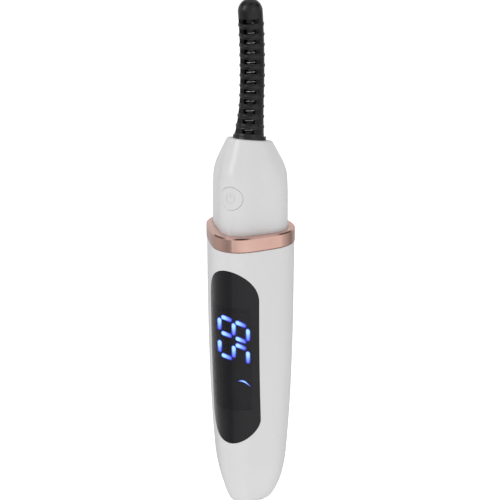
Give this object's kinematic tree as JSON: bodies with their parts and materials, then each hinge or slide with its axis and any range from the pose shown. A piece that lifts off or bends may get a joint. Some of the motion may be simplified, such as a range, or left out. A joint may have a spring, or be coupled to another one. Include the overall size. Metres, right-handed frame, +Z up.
{
  "type": "eyelash curler",
  "caption": "Rechargeable heated eyelash curler: tapering white handle with a lit display window, plated ring, conical neck with push button, and a curved, slotted comb head.",
  "frame": {"origin": "centre of the flat base that the wand stands on, in the middle of its charging opening", "axes": "+Z up the wand from the base to the comb's tip; -Y is the front, with the display window and the power button; +X is to the right of someone who looks at the front"},
  "size_m": [0.0256, 0.0247, 0.146],
  "materials": {
    "white_shell": "gloss, moulded",
    "white_button": "satin gloss, moulded",
    "smoked_window": "polished, smoked",
    "rose_gold": "polished plating",
    "black_comb": "semi-gloss, heat resistant",
    "heater_ceramic": "matt fired",
    "heater_wire": "bright drawn wire",
    "bead_glass": "fused bead",
    "tinned_wire": "tinned",
    "lead_insulation": "smooth insulation",
    "heat_resin": "moulded, heat resistant",
    "switch_black": "moulded",
    "switch_tip": "moulded",
    "board_green": "solder mask",
    "chip_black": "moulded package",
    "component_tan": "fired",
    "module_black": "matt moulded",
    "lit_blue": "lit diffuser",
    "unlit_grey": "unlit diffuser",
    "cell_wrap": "shrink wrap",
    "cell_steel": "plated",
    "nickel_strip": "rolled strip",
    "chassis_grey": "moulded",
    "screw_steel": "zinc plated",
    "socket_steel": "stamped and plated",
    "tongue_black": "moulded",
    "contact_gold": "gold flash"
  },
  "bodies": {
    "handle": {"body_shell": "white_shell", "neck_shell": "white_shell", "display_window": "smoked_window", "trim_ring": "rose_gold", "comb_shell": "black_comb", "heater_core": "heater_ceramic", "heater_winding": "heater_wire", "thermistor_bead": "bead_glass", "thermistor_lead": "tinned_wire", "heater_leads": "lead_insulation", "heater_holder": "heat_resin", "switch_body": "switch_black", "main_board": "board_green", "charge_board": "board_green", "controller_chip": "chip_black", "charger_chip": "chip_black", "heater_transistor": "chip_black", "board_components": "component_tan", "display_module": "module_black", "lit_segments": "lit_blue", "unlit_segments": "unlit_grey", "display_icon": "lit_blue", "battery_cell": "cell_wrap", "cell_cap": "cell_steel", "cell_tabs": "nickel_strip", "chassis": "chassis_grey", "chassis_screws": "screw_steel", "socket_shell": "socket_steel", "socket_tongue": "tongue_black", "socket_contacts": "contact_gold", "charge_leads": "lead_insulation"},
    "button": {"power_button": "white_button"},
    "plunger": {"switch_plunger": "switch_tip"}
  },
  "joints": [
    {"name": "button_press", "type": "slide", "parent": "handle", "child": "button", "axis": [0, 1, 0], "range_m": [0, 0.0003], "stiffness_N_per_m": 400, "springref_m": -0.0005},
    {"name": "plunger_press", "type": "slide", "parent": "handle", "child": "plunger", "axis": [0, 1, 0], "range_m": [0, 0.0003]}
  ],
  "couplings": [
    {"joint": "plunger_press", "follows": "button_press", "ratio": 1}
  ]
}
